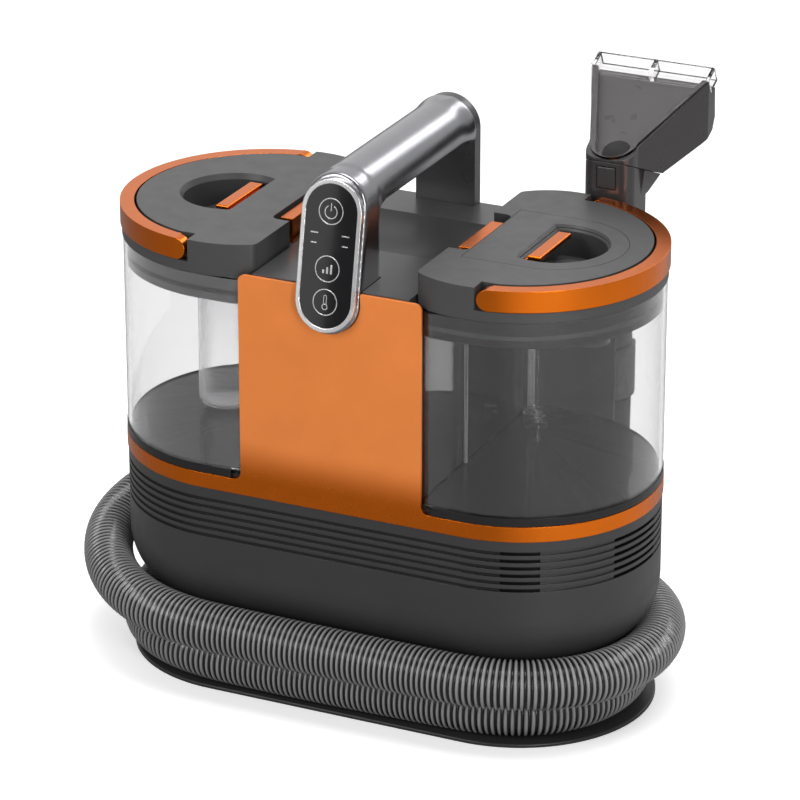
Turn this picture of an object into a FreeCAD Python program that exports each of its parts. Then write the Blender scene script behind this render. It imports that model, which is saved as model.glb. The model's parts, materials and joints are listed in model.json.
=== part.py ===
"""Portable spot carpet cleaner: two lift-off tanks, a carrying handle with a touch panel, a
suction and spray hand tool standing behind the dirty-water tank, and its hose wound round the
waist between the body and the foot.

Frame: millimetres, +Z up, the origin on the floor at the middle of the foot's underside, +X to
the dirty-water tank's end, -Y to the front panel.
"""

import FreeCAD, Part
import math
import os
import re

doc = FreeCAD.newDocument("carpet_cleaner")
sheet = doc.addObject("Spreadsheet::Sheet", "dims")

DIMENSIONS = {
    # plan of the body: a stadium, two half circles joined by straight sides
    "end_centre": 88, "band_radius": 90, "body_radius": 89.4, "tank_radius": 89.4,
    # foot and waist
    "foot_radius": 88, "foot_lip": 2.2, "foot_step": 4, "waist_radius": 48, "waist_wall": 3,
    "pad_radius": 9, "pad_thick": 1.6,
    # lower housing
    "bowl_floor": 42, "bowl_round": 42, "bowl_top": 140.4, "shell_wall": 3,
    "groove_low": 106.7, "groove_pitch": 4.9, "groove_high": 2.3, "groove_deep": 1.1,
    # band and front panel
    "band_top": 150.3, "band_wall": 2.2, "panel_half": 61.5, "panel_top": 287,
    "panel_corner": 4.5, "tray_low": 145, "gap": 0.3,
    # core column and deck
    "core_half": 53, "core_front": -86.5, "core_back": 86.5, "core_wall": 2.5,
    "deck_low": 284, "deck_top": 288, "scoop_radius": 46, "scoop_y": 16, "scoop_z": 318,
    # tanks and lids
    "tank_inner": 56, "tank_wall": 2.2, "tank_low": 150.6, "tank_cup": 156, "tank_top": 282.5,
    "tank_corner": 13, "lid_low": 282.8, "lid_top": 304, "lid_inner": 54, "lid_front": 80,
    "lid_back": 76, "lid_radius": 90, "lid_plate_radius": 80.4, "plug_low": 266,
    "bail_low": 290, "bail_high": 303.6, "bail_inner": 82, "bail_outer": 91, "bail_end": 97,
    "bail_pivot_x": 104.5, "bail_pivot_z": 296.8, "pivot_radius": 2.2,
    "well_flat": 100, "well_round": 32, "well_centre": 110, "well_deep": 20, "well_bevel": 3.5,
    "lever_inner": 101.8, "lever_outer": 110.5, "lever_half": 23.5, "lever_top": 302.8,
    "lever_pivot_x": 98.6, "lever_pivot_z": 298.2, "lever_pin": 1.1,
    "latch_inner": 56.5, "latch_outer": 65, "latch_half": 24.5, "latch_top": 301.8,
    "notch_outer": 67, "notch_half": 34, "notch_low": 285.6,
    "cap_inner": 67.4, "cap_radius": 45,
    # handle
    "post_half": 20.9, "post_back": -60, "post_low": 259.5, "post_top": 357.5,
    "handle_top": 359, "display_y": -98.4, "display_z": 262.2, "display_long": 94,
    "display_half": 19.8, "display_lean": 10.6,
    "grip_half": 20, "grip_low": 334, "rear_post_front": 79, "rear_post_back": 87.6,
    "rear_half": 20.5, "bezel_thick": 4, "glass_thick": 1.6,
    "bezel_rim": 2.6,
    # hand tool
    "tool_x": 104, "tool_y": 110, "tool_radius": 16.5, "tool_low": 200, "tail_radius": 12.5,
    "tail_low": 137, "button_low": 308, "button_long": 14, "trigger_y": 122.5,
    "trigger_z": 246, "trigger_pin": 1.2,
    "head_half": 40, "head_neck": 16.5,
    "head_y": 93, "head_z": 327.3, "head_long": 80, "lip_long": 11, "cover_thick": 2.4,
    "channel_deep": 8, "lip_wall": 2, "joint_slope": 0.4353,
    # hose
    "hose_radius": 16, "port_bore": 12.5,
}


def fill_sheet():
    """One row for each driving dimension, with the dimension's name as its alias."""
    for row, (alias, value) in enumerate(DIMENSIONS.items(), start=1):
        sheet.set(f"A{row}", alias)
        sheet.set(f"B{row}", str(value))
        sheet.setAlias(f"B{row}", alias)
    doc.recompute()


def size(alias):
    """The sheet's value of one dimension, for shapes that take no expression."""
    return float(sheet.get(alias))


def bind(item, **sizes):
    """Bind properties to expressions whose words are the sheet's aliases."""
    for name, text in sizes.items():
        path = {"x": "Placement.Base.x", "y": "Placement.Base.y", "z": "Placement.Base.z"}
        words = re.sub(r"[a-z]\w*", lambda found: "dims." + found.group(0), str(text))
        item.setExpression(path.get(name, name), words)
    return item


def box(x0, x1, y0, y1, z0, z1):
    item = doc.addObject("Part::Box", "block")
    spans = {"Length": f"({x1}) - ({x0})", "Width": f"({y1}) - ({y0})", "Height": f"({z1}) - ({z0})"}
    return bind(item, **spans, x=x0, y=y0, z=z0)


def rod(radius, x, y, z0, z1):
    """A cylinder standing along Z."""
    item = doc.addObject("Part::Cylinder", "rod")
    return bind(item, Radius=radius, Height=f"({z1}) - ({z0})", x=x, y=y, z=z0)


def turned(item, axis):
    """Lay an item made along Z down along X or Y, about its own base point."""
    way = FreeCAD.Vector(1, 0, 0) if axis == "x" else FreeCAD.Vector(0, 1, 0)
    item.Placement.Rotation = FreeCAD.Rotation(FreeCAD.Vector(0, 0, 1), way)
    return item


def rod_x(radius, x0, x1, y, z):
    item = doc.addObject("Part::Cylinder", "rod")
    return turned(bind(item, Radius=radius, Height=f"({x1}) - ({x0})", x=x0, y=y, z=z), "x")


def rod_y(radius, y0, y1, x, z):
    item = doc.addObject("Part::Cylinder", "rod")
    return turned(bind(item, Radius=radius, Height=f"({y1}) - ({y0})", x=x, y=y0, z=z), "y")


def cone(low_radius, high_radius, x, y, z0, z1):
    item = doc.addObject("Part::Cone", "cone")
    return bind(item, Radius1=low_radius, Radius2=high_radius, Height=f"({z1}) - ({z0})", x=x, y=y, z=z0)


def fuse(*items):
    whole = doc.addObject("Part::MultiFuse", "fuse")
    whole.Shapes = list(items)
    whole.Refine = True
    return whole


def common(*items):
    shared = doc.addObject("Part::MultiCommon", "common")
    shared.Shapes = list(items)
    return shared


def cut(base, *tools):
    left = doc.addObject("Part::Cut", "cut")
    left.Base = base
    left.Tool = tools[0] if len(tools) == 1 else fuse(*tools)
    left.Refine = True
    return left


def rounded(base, radius, wanted):
    """Round every edge of base that wanted(edge, its box) accepts."""
    doc.recompute()
    item = doc.addObject("Part::Fillet", "round")
    item.Base = base
    edges = enumerate(base.Shape.Edges, start=1)
    item.Edges = [(i, radius, radius) for i, edge in edges if wanted(edge, edge.BoundBox)]
    return item


def upright(edge, bounds):
    return bounds.ZLength > 1 and bounds.XLength < 0.01 and bounds.YLength < 0.01


def at_height(z):
    """An edge filter: the edges that lie level at this height."""
    return lambda edge, bounds: abs(bounds.ZMin - z) < 0.01 and abs(bounds.ZMax - z) < 0.01


def stadium(radius, z0, z1):
    """The body's plan with this end radius, between two heights."""
    middle = box("0 - end_centre", "end_centre", f"0 - ({radius})", radius, z0, z1)
    left = rod(radius, "0 - end_centre", "0", z0, z1)
    right = rod(radius, "end_centre", "0", z0, z1)
    return fuse(middle, left, right)


def stadium_ring(outer, inner, z0, z1):
    return cut(stadium(outer, z0, z1), stadium(inner, f"({z0}) - 1", f"({z1}) + 1"))


def side_box(side, x0, x1, y0, y1, z0, z1):
    """A box whose x values are distances from the middle, on side -1 or +1."""
    if side > 0:
        return box(x0, x1, y0, y1, z0, z1)
    return box(f"0 - ({x1})", f"0 - ({x0})", y0, y1, z0, z1)


def side_x(side, value):
    return value if side > 0 else f"0 - ({value})"


def end_plan(side, radius, inner, z0, z1):
    """The D of the plan beyond x = inner on one side."""
    reach = side_box(side, inner, "end_centre + band_radius + 5", "0 - band_radius - 5",
                     "band_radius + 5", f"({z0}) - 1", f"({z1}) + 1")
    return common(stadium(radius, z0, z1), reach)


def snug_plan(side, inset, z0, z1):
    """The tank's plan moved in by inset, with its two inner corners rounded."""
    plan = end_plan(side, f"tank_radius - ({inset})", f"tank_inner + ({inset})", z0, z1)
    inner = size("tank_inner") + inset
    return rounded(plan, size("tank_corner") - inset,
                   lambda edge, bounds: upright(edge, bounds)
                   and abs(abs(bounds.XMin) - inner) < 0.01)


nodes = {}


def node(name, item):
    """Name a finished sub-part."""
    item.Label = name
    nodes[name] = item
    return item


def solid(name, shape):
    """A sub-part whose shape is set directly."""
    item = doc.addObject("Part::Feature", name)
    item.Shape = shape
    item.Placement = FreeCAD.Placement()
    return item


# ---------------------------------------------------------------- foot and waist

PAD_PLACES = [(120, 45), (-120, 45), (-120, -45), (120, -45)]
SCREW_PLACES = [(88, 36), (0, 36), (-88, 36), (-88, -36), (0, -36), (88, -36)]


def make_foot():
    plate = stadium("foot_radius", "0", "foot_lip")
    step = stadium("waist_radius + 6", "foot_lip", "foot_step")
    pads = [rod("pad_radius", x, y, "0 - 1", "pad_thick") for x, y in PAD_PLACES]
    holes = [rod("1.9", x, y, "0 - 1", "foot_step + 1") for x, y in SCREW_PLACES]
    sinks = [rod("3.6", x, y, "0 - 1", "1.8") for x, y in SCREW_PLACES]
    body = rounded(fuse(plate, step), 0.8, at_height(size("foot_lip")))
    node("base_foot", cut(body, *pads, *holes, *sinks))
    feet = [rod("pad_radius", x, y, "0", "pad_thick") for x, y in PAD_PLACES]
    node("rubber_feet", fuse(*feet))


def make_waist():
    wall = stadium_ring("waist_radius", "waist_radius - waist_wall", "foot_step", "bowl_floor")
    bosses = [rod("4.5", x, y, "foot_step", "20") for x, y in SCREW_PLACES]
    ribs = [box(x - 1.5, x + 1.5, min(y, math.copysign(46, y)), max(y, math.copysign(46, y)),
                "foot_step", "20") for x, y in SCREW_PLACES]
    holes = [rod("1.9", x, y, "foot_step - 1", "15") for x, y in SCREW_PLACES]
    duct = rod_y("port_bore", "40", "60", "-12", "18.2")
    node("waist_wall", cut(fuse(wall, *bosses, *ribs), *holes, duct))


def make_hose_port():
    """An elbow that turns the hose from along the waist wall to straight in."""
    barrel = rod_x("hose_radius - 0.7", "-27", "6", "68", "18.2")
    stub = rod_y("port_bore + 1.5", "waist_radius", "68", "-12", "18.2")
    flange = box("-30", "6", "waist_radius", "waist_radius + 2", "5", "33.5")
    bore = rod_x("port_bore", "-12", "7", "68", "18.2")
    inlet = rod_y("port_bore", "waist_radius - 1", "68", "-12", "18.2")
    elbow = rod("port_bore", "-12", "68", "18.2 - port_bore", "18.2 + port_bore")
    node("hose_port", cut(fuse(barrel, stub, flange), bore, inlet, elbow))


# ---------------------------------------------------------------- lower housing

VENT_STRETCHES = [(-74, -58), (-25, 4)]


def wedge(start, end, z0, z1):
    """A block reaching out from the right-hand end's centre between two angles."""
    item = doc.addObject("Part::Cylinder", "wedge")
    item.Angle = end - start
    bind(item, Radius="band_radius + 5", Height=f"({z1}) - ({z0})", x="end_centre", y="0", z=z0)
    item.Placement.Rotation = FreeCAD.Rotation(FreeCAD.Vector(0, 0, 1), start)
    return item


def make_lower_housing():
    floor = size("bowl_floor")
    wall = size("shell_wall")
    outer = rounded(stadium("body_radius", "bowl_floor", "bowl_top"), size("bowl_round"),
                    at_height(floor))
    hollow = stadium("body_radius - shell_wall", "bowl_floor + shell_wall", "bowl_top + 1")
    inner = rounded(hollow, size("bowl_round") - wall, at_height(floor + wall))
    shell = cut(outer, inner)
    grooves = []
    slots = []
    for number in range(6):
        low = f"groove_low + groove_pitch * {number}"
        high = f"groove_low + groove_pitch * {number} + groove_high"
        grooves.append(stadium_ring("band_radius + 5", "body_radius - groove_deep", low, high))
        for start, end in VENT_STRETCHES:
            slots.append(wedge(start, end, low, high))
    opening = rod("port_bore", "-12", "0", "bowl_floor - 1", "bowl_floor + 8")
    slotted = cut(shell, *grooves, *slots, opening)
    node("lower_housing", slotted)
    liner = stadium_ring("body_radius - shell_wall - 0.3", "body_radius - shell_wall - 1.8",
                         "groove_low - 3", "groove_low + groove_pitch * 6 + 2")
    behind = box("60", "end_centre + band_radius", "0 - band_radius", "40",
                 "groove_low - 4", "groove_low + groove_pitch * 6 + 3")
    node("vent_filter", common(liner, behind))


# ---------------------------------------------------------------- orange shell, tray

def make_shell():
    band = stadium_ring("band_radius", "band_radius - band_wall", "bowl_top", "band_top")
    panel = box("0 - panel_half", "panel_half", "0 - band_radius", "band_wall - band_radius",
                "bowl_top", "panel_top")
    joined = fuse(band, panel)
    half = size("panel_half")

    def top_corner(edge, bounds):
        at_side = abs(abs(bounds.XMin) - half) < 0.01 and bounds.XLength < 0.01
        return at_side and abs(bounds.ZMin - size("panel_top")) < 0.01 and bounds.ZLength < 0.01

    def tank_corner(edge, bounds):
        at_side = abs(abs(bounds.XMin) - half) < 0.01 and bounds.XLength < 0.01
        return at_side and abs(bounds.ZMin - size("band_top")) < 0.01 and bounds.ZLength < 0.01

    corners = rounded(rounded(joined, size("panel_corner"), top_corner), 5.5, tank_corner)
    slot = box("0 - post_half - gap", "post_half + gap", "-100", "-80", "post_low + post_half",
               "panel_top + 5")
    slot_end = rod_y("post_half + gap", "-100", "-80", "0", "post_low + post_half")
    node("orange_shell", cut(corners, slot, slot_end))


def make_tray():
    """The dark deck inside the band that the tanks stand on."""
    plate = stadium("band_radius - band_wall - 0.2", "tray_low", "band_top")
    middle = box("3 - core_half", "core_half - 3", "-80", "80", "tray_low - 1", "band_top + 1")
    valves = [rod("6.4", side_x(side, "74"), "58", "tray_low - 1", "band_top + 1")
              for side in (-1, 1)]
    rim = stadium_ring("body_radius - shell_wall - 0.2", "body_radius - shell_wall - 3",
                       "tray_low - 5", "tray_low")
    node("tank_tray", cut(fuse(plate, rim), middle, *valves))


# ---------------------------------------------------------------- core column

def make_core():
    outer = box("0 - core_half", "core_half", "core_front", "core_back", "band_top", "deck_low")
    column = rounded(outer, 7, upright)
    hollow = box("core_wall - core_half", "core_half - core_wall", "core_front + core_wall",
                 "core_back + 1", "band_top - 1", "deck_low + 1")
    notch = box("0 - post_half - gap", "post_half + gap", "core_front - 1",
                "core_front + core_wall + 1", "post_low - gap", "deck_low + 1")
    node("core_column", cut(column, hollow, notch))
    cover = box("core_wall + 0.2 - core_half", "core_half - core_wall - 0.2", "core_back - 2.4",
                "core_back", "band_top + 0.3", "deck_low - 0.3")
    vents = [box("-34", "34", "core_back - 4", "core_back + 1", 172 + 7 * i, 175 + 7 * i)
             for i in range(6)]
    node("rear_cover", cut(cover, *vents, rod_y("9", "core_back - 4", "core_back + 1", "-30", "232")))
    inlet = rod_y("8.7", "core_back - 2", "core_back + 1.4", "-30", "232")
    throat = rod_y("5.4", "core_back - 1", "core_back + 3", "-30", "232")
    node("power_inlet", cut(inlet, throat))


def make_deck():
    """Top plate between the lids, with a finger scoop under the grip."""
    plate = box("0.4 - core_half", "core_half - 0.4", "0.3 - band_radius + band_wall", "band_radius - 3",
                "deck_low", "deck_top")
    skirt = box("8 - core_half", "core_half - 8", "-30", "66", "deck_low - 16", "deck_low")
    scoop = rod_x("scoop_radius", "3 - core_half", "core_half - 3", "scoop_y", "scoop_z")
    front = box("0 - post_half - 0.3", "post_half + 0.3", "-100", "post_back + 0.3", "deck_low - 2",
                "deck_top + 1")
    node("top_deck", cut(fuse(plate, skirt), scoop, front))


# ---------------------------------------------------------------- handle and display

def stadium_post(half, y0, y1, z0, z1):
    """A post whose front outline is a standing stadium."""
    middle = box(f"0 - ({half})", half, y0, y1, f"({z0}) + ({half})", f"({z1}) - ({half})")
    low = rod_y(half, y0, y1, "0", f"({z0}) + ({half})")
    high = rod_y(half, y0, y1, "0", f"({z1}) - ({half})")
    return fuse(middle, low, high)


def leaned(item):
    """Lean an upright display piece back about the lower edge of the display's face."""
    pivot = FreeCAD.Vector(0, size("display_y"), size("display_z"))
    lean = FreeCAD.Rotation(FreeCAD.Vector(1, 0, 0), -size("display_lean"))
    item.Placement = FreeCAD.Placement(FreeCAD.Vector(), lean, pivot)
    return item


def display_plate(inset, y0, y1):
    """A layer of the display: its standing stadium outline moved in by inset, before leaning."""
    return stadium_post(f"display_half - ({inset})", y0, y1, f"display_z + ({inset})",
                        f"display_z + display_long - ({inset})")


def make_handle():
    post = stadium_post("post_half", "display_y - 8", "post_back", "post_low", "post_top")
    ahead = leaned(fuse(box("-40", "40", "display_y - 40", "display_y + bezel_thick",
                            "display_z - 60", "display_z + 60"),
                        box("-40", "40", "display_y - 40", "display_y + bezel_thick",
                            "display_z + 60", "display_z + 160")))
    bar_round = rod_y("grip_half", "post_back - 2", "rear_post_front", "0",
                      "handle_top - grip_half - 0.6")
    under = box("0 - grip_half - 1", "grip_half + 1", "post_back", "rear_post_front",
                "grip_low - 30", "grip_low")
    flare = box("0 - grip_half", "grip_half", "post_back - 1", "post_back + 9", "grip_low - 9",
                "grip_low + 8")
    hollow = rod_x("9", "0 - 30", "30", "post_back + 9", "grip_low - 9")
    node("handle_grip", fuse(cut(post, ahead), cut(bar_round, under), cut(flare, hollow)))
    plate = box("0 - rear_half", "rear_half", "rear_post_front", "rear_post_back", "deck_top",
                "handle_top - rear_half - 0.4")
    crown = rod_y("rear_half", "rear_post_front", "rear_post_back", "0",
                  "handle_top - rear_half - 0.4")
    node("handle_rear_post", fuse(plate, crown))


def make_screws():
    """The screws of the foot, the rear cover and the handle's rear post."""
    heads = [rod("3.4", x, y, "0.5", "1.8") for x, y in SCREW_PLACES]
    shanks = [rod("1.7", x, y, "1.8", "14") for x, y in SCREW_PLACES]
    cover = [rod_y("2.6", "core_back", "core_back + 0.9", x, z) for x in (-44, 26)
             for z in (160, 274)]
    post = [rod_y("2.4", "rear_post_back", "rear_post_back + 0.8", "0", z) for z in (300, 346)]
    node("case_screws", fuse(*heads, *shanks, *cover, *post))


def make_display():
    rim = display_plate("0", "display_y", "display_y + bezel_thick")
    recess = display_plate("bezel_rim", "display_y - 1", "display_y + glass_thick + 0.2")
    pocket = display_plate("bezel_rim + 3", "display_y - 1", "display_y + bezel_thick + 1")
    node("display_bezel", leaned(cut(rim, recess, pocket)))
    glass = display_plate("bezel_rim + 0.1", "display_y + 0.2", "display_y + glass_thick")
    node("display_glass", leaned(glass))
    board = display_plate("bezel_rim + 4", "display_y + glass_thick + 0.6",
                          "display_y + bezel_thick - 0.3")
    node("touch_board", leaned(board))


# ---------------------------------------------------------------- tanks and lids

def make_tank(side, word):
    """A clear tank in a dark cup, both relieved behind the front panel's foot."""
    wall = size("tank_wall")
    relief = side_box(side, "0", "panel_half + 7", "-100", "band_wall + gap - band_radius",
                      "tank_low - 1", "tank_cup + 0.6")
    outer = snug_plan(side, 0, "tank_low + 2.2", "tank_top")
    hollow = snug_plan(side, wall, "tank_low + 4.4", "tank_top + 1")
    drain = rod("5.2", side_x(side, "74"), "58", "tank_low", "tank_cup")
    node(f"{word}_tank", fuse(cut(outer, hollow, drain, relief), valve_cage(side)))
    cup = snug_plan(side, -0.4, "tank_low", "tank_cup")
    seat = snug_plan(side, 0, "tank_low + 2.2", "tank_cup + 1")
    hole = rod("5.2", side_x(side, "74"), "58", "tank_low - 1", "tank_cup")
    node(f"{word}_tank_base", cut(cup, seat, hole, relief))


def valve_cage(side):
    """The cage welded to the tank's floor that keeps the drain valve's spring in place."""
    x = side_x(side, "74")
    return cut(rod("8.6", x, "58", "tank_low + 3.4", "tank_low + 15"),
               rod("7.7", x, "58", "tank_low + 3", "tank_low + 13"),
               rod("2.5", x, "58", "tank_low + 12", "tank_low + 16"),
               box(f"({x}) - 10", f"({x}) + 10", "54", "62", "tank_low + 7", "tank_low + 12"))


def make_valve(side, word):
    """A drain valve: a spring-loaded plunger in the tank's floor."""
    x = side_x(side, "74")
    stem = rod("2.2", x, "58", "tank_low - 3", "tank_low + 9")
    disc = rod("7.4", x, "58", "tank_low + 4.7", "tank_low + 6.4")
    button = rod("4.6", x, "58", "tank_low - 3", "tank_low - 0.6")
    node(f"{word}_valve_plunger", fuse(stem, disc, button))
    coils = cut(rod("4.1", x, "58", "tank_low + 6.7", "tank_low + 13"),
                rod("2.9", x, "58", "tank_low + 6", "tank_low + 14"))
    node(f"{word}_valve_spring", coils)


def lid_outline(side, radius, z0, z1):
    """The lid's plan: the D of the body's end, clipped at the front and the back near the core."""
    whole = end_plan(side, radius, "lid_inner", z0, z1)
    inner_reach = side_box(side, "lid_inner - 1", "end_centre", "0 - lid_front", "lid_back",
                           f"({z0}) - 1", f"({z1}) + 1")
    outer_reach = side_box(side, "end_centre - 0.01", "end_centre + 100", "-100", "100",
                           f"({z0}) - 1", f"({z1}) + 1")
    front = bevel(side, -1, z0, z1)
    back = bevel(side, 1, z0, z1)
    return common(whole, fuse(inner_reach, outer_reach, front, back))


def bevel(side, front_back, z0, z1):
    """The lid's edge curves from its clipped corner out to the body's side."""
    clip = size("lid_front") if front_back < 0 else size("lid_back")
    reach = size("lid_radius") - clip
    run = size("end_centre") - size("lid_inner")
    curve_radius = (run * run + reach * reach) / (2 * reach)
    item = doc.addObject("Part::Cylinder", "bevel")
    bind(item, Height=f"({z1}) - ({z0})", x=side_x(side, "end_centre"), z=z0)
    item.Radius = curve_radius
    item.Placement.Base.y = front_back * (size("lid_radius") - curve_radius)
    slab = side_box(side, "lid_inner", "end_centre", "-95", "95", f"({z0}) - 1", f"({z1}) + 1")
    return common(item, slab)


def well_plan(side, grow, z0, z1):
    """The finger well: a half round with a flat side towards the core."""
    disc = rod(f"well_round + ({grow})", side_x(side, "well_centre"), "0", z0, z1)
    clip = side_box(side, f"well_flat - ({grow})", "200", "-60", "60", f"({z0}) - 1", f"({z1}) + 1")
    return common(disc, clip)


def well_bevel(side):
    """The well's rim slopes down, most along its flat side."""
    low = "lid_top - well_bevel"
    x = side_x(side, "well_flat")
    slope = box(x, f"({x}) + 12", "-60", "60", low, f"({low}) + 12")
    slope.Placement.Rotation = FreeCAD.Rotation(FreeCAD.Vector(0, 1, 0), -45)
    round_part = side_box(side, "well_flat", "200", "-60", "60", low, "lid_top + 1")
    flare = cone("well_round", "well_round + well_bevel * 0.6", side_x(side, "well_centre"), "0",
                 low, "lid_top + 0.01")
    return common(flare, fuse(slope, round_part))


def latch_notch(side):
    """The notch in the lid's inner edge, with round inner corners, that the latch lies in."""
    notch = side_box(side, "lid_inner - 9", "notch_outer", "0 - notch_half", "notch_half",
                     "notch_low", "lid_top + 1")
    return rounded(notch, 5, upright)


def seal_ring(side, clearance, z0, z1):
    """The groove in the lid's neck, or the seal in it, between the tank wall and the neck."""
    wall = size("tank_wall")
    return cut(snug_plan(side, wall + clearance, z0, z1),
               snug_plan(side, wall + 2.4, f"({z0}) - 1", f"({z1}) + 1"))


def make_lid(side, word):
    wall = size("tank_wall")
    rim = lid_outline(side, "lid_radius", "lid_low", "bail_low - 0.6")
    plate = lid_outline(side, "lid_plate_radius", "bail_low - 0.7", "lid_top")
    shoulders = cut(lid_outline(side, "lid_radius", "bail_low - 0.7", "lid_top"),
                    side_box(side, "bail_end - 1", "200", "-100", "100", "bail_low - 2",
                             "lid_top + 2"))
    neck = snug_plan(side, wall + 0.4, "plug_low", "lid_low")
    hollow = snug_plan(side, wall + 5, "plug_low - 1", "lid_low")
    under_well = well_plan(side, "2.6", "lid_top - well_deep - 2.6", "lid_top - 1")
    openings = [
        seal_ring(side, 0, "plug_low + 5", "plug_low + 8"),
        well_plan(side, "0", "lid_top - well_deep", "lid_top + 1"),
        latch_notch(side),
        *[side_box(side, "bail_end - 1", "bail_pivot_x + 1.5", y0, y1, "bail_low - 0.6",
                   "lid_top + 1") for y0, y1 in (("78.2", "100"), ("-100", "-78.2"))],
        well_bevel(side),
        rod_y("pivot_radius", "-87", "87", side_x(side, "bail_pivot_x"), "bail_pivot_z"),
        side_box(side, "lever_pivot_x - 2.4", "well_flat + 1", "0 - lever_half - 0.6",
                 "lever_half + 0.6", "lever_pivot_z - 2.6", "lever_pivot_z + 2.1"),
        rod_y("lever_pin + 0.03", "0 - lever_half - 4", "lever_half + 4",
              side_x(side, "lever_pivot_x"), "lever_pivot_z"),
    ]
    if word == "dirty":
        openings.append(cap_plan(side, "0.35", "lid_top - 2.2", "lid_top + 1"))
    body = cut(fuse(rim, plate, shoulders, neck), hollow)
    whole = cut(fuse(body, under_well), *openings)
    corner_x = size("lid_inner")
    node(f"{word}_lid", rounded(whole, 6, lambda edge, bounds: upright(edge, bounds)
                                and abs(abs(bounds.XMin) - corner_x) < 0.01
                                and abs(bounds.YMin) > 60))
    node(f"{word}_lid_seal", seal_ring(side, 0.1, "plug_low + 5", "plug_low + 8"))


def cap_plan(side, grow, z0, z1):
    """The inlaid service cap: straight sides from the latch notch and a round far end."""
    strip = side_box(side, f"cap_inner - ({grow})", "well_centre", f"0 - cap_radius - ({grow})",
                     f"cap_radius + ({grow})", z0, z1)
    disc = rod(f"cap_radius + ({grow})", side_x(side, "well_centre"), "0", z0, z1)
    outer = side_box(side, "well_centre - 0.1", "200", "-100", "100", f"({z0}) - 1", f"({z1}) + 1")
    return fuse(strip, common(disc, outer))


def make_cap(side, word):
    plate = cap_plan(side, "0", "lid_top - 1.9", "lid_top")
    well = well_plan(side, "0", "lid_top - 3", "lid_top + 1")
    node(f"{word}_lid_inlay", cut(plate, well, well_bevel(side)))


def make_bail(side, word):
    """The carrying bail: half a flat ring that lies round the lid."""
    ring = cut(end_plan(side, "bail_outer", "bail_end", "bail_low", "bail_high"),
               stadium("bail_inner", "bail_low - 1", "bail_high + 1"))
    hub = [rod_y("(bail_high - bail_low) / 2", y0, y1, side_x(side, "bail_pivot_x"),
                 "bail_pivot_z")
           for y0, y1 in (("0 - bail_outer", "0 - bail_inner"), ("bail_inner", "bail_outer"))]
    ends = side_box(side, "bail_end - 1", "bail_pivot_x", "-100", "100", "bail_low - 1",
                    "bail_high + 1")
    arc = fuse(cut(ring, ends), *[common(h, stadium("bail_outer", "bail_low", "bail_high"))
                                  for h in hub])
    hole = rod_y("pivot_radius + 0.05", "-87", "87", side_x(side, "bail_pivot_x"), "bail_pivot_z")
    node(f"{word}_bail", cut(arc, hole))
    pins = [rod_y("pivot_radius", y0, y1, side_x(side, "bail_pivot_x"), "bail_pivot_z")
            for y0, y1 in (("-86.6", "-70"), ("70", "86.6"))]
    node(f"{word}_bail_pins", fuse(*pins))


def make_lever(side, word):
    """The pull bar over the well, on a barrel with two stub pins in the lid."""
    bar = rounded(side_box(side, "lever_inner", "lever_outer", "0 - lever_half", "lever_half",
                           "lever_top - 2.6", "lever_top"), 1, at_height(size("lever_top")))
    arm = side_box(side, "lever_pivot_x", "lever_inner + 2", "0 - lever_half", "lever_half",
                   "lever_pivot_z - 0.6", "lever_pivot_z + 1")
    riser = side_box(side, "lever_inner", "lever_inner + 2", "0 - lever_half", "lever_half",
                     "lever_pivot_z - 0.6", "lever_top - 2")
    barrel = rod_y("1.8", "0 - lever_half", "lever_half", side_x(side, "lever_pivot_x"),
                   "lever_pivot_z")
    pin = rod_y("lever_pin", "0 - lever_half - 3.6", "lever_half + 3.6",
                side_x(side, "lever_pivot_x"), "lever_pivot_z")
    node(f"{word}_lever", fuse(bar, arm, riser, barrel, pin))


def make_latch(side, word):
    """The tab in the lid's notch that locks the tank to the core."""
    top = side_box(side, "latch_inner", "latch_outer", "0 - latch_half", "latch_half",
                   "latch_top - 2.6", "latch_top")
    leg = side_box(side, "latch_inner", "latch_inner + 2.4", "0 - latch_half", "latch_half",
                   "notch_low + gap", "latch_top - 2.6")
    node(f"{word}_latch", fuse(top, leg))


def make_float():
    """Shut-off float in a cage under the dirty lid."""
    centre_x, centre_y = 125, 20
    tube = cut(rod("13", centre_x, centre_y, "236", "281"), rod("11", centre_x, centre_y, "238", "282"))
    windows = [box(centre_x - 4, centre_x + 4, centre_y - 15, centre_y + 15, "244", "262"),
               box(centre_x - 15, centre_x + 15, centre_y - 4, centre_y + 4, "244", "262")]
    node("float_cage", cut(tube, *windows))
    node("float_ball", rod("10.2", centre_x, centre_y, "238.4", "252"))


# ---------------------------------------------------------------- inside the core

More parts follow.
